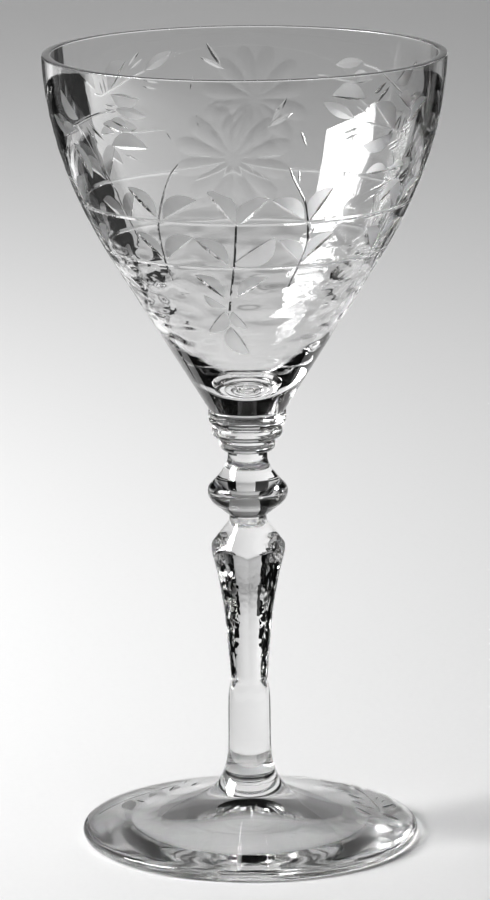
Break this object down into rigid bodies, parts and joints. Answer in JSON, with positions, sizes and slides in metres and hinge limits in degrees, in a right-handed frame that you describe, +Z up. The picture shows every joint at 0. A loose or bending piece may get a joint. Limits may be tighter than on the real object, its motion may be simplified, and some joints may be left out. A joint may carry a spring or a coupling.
{
  "type": "cocktail glass",
  "caption": "Clear stemmed cocktail glass: a flared conical bowl cut with flowers and leaves, collar rings, a knop, a panelled stem and a wide round foot.",
  "frame": {"origin": "on the axis of the glass, at the plane of the flat ring that the foot rests on", "axes": "+Z up along the axis, from the foot to the rim; -Y is the front, where an edge between two stem panels and the middle of a cut flower face"},
  "size_m": [0.07, 0.07, 0.14],
  "materials": {
    "bowl_glass": "polished clear, with satin cut flowers and leaves",
    "stem_glass": "fire-polished clear",
    "foot_glass": "fire-polished clear, with satin cut leaves"
  },
  "bodies": {
    "root": {"bowl": "bowl_glass", "upper_collar_ring": "stem_glass", "middle_collar_ring": "stem_glass", "lower_collar_ring": "stem_glass", "knop": "stem_glass", "stem": "stem_glass", "foot": "foot_glass"}
  },
  "joints": []
}
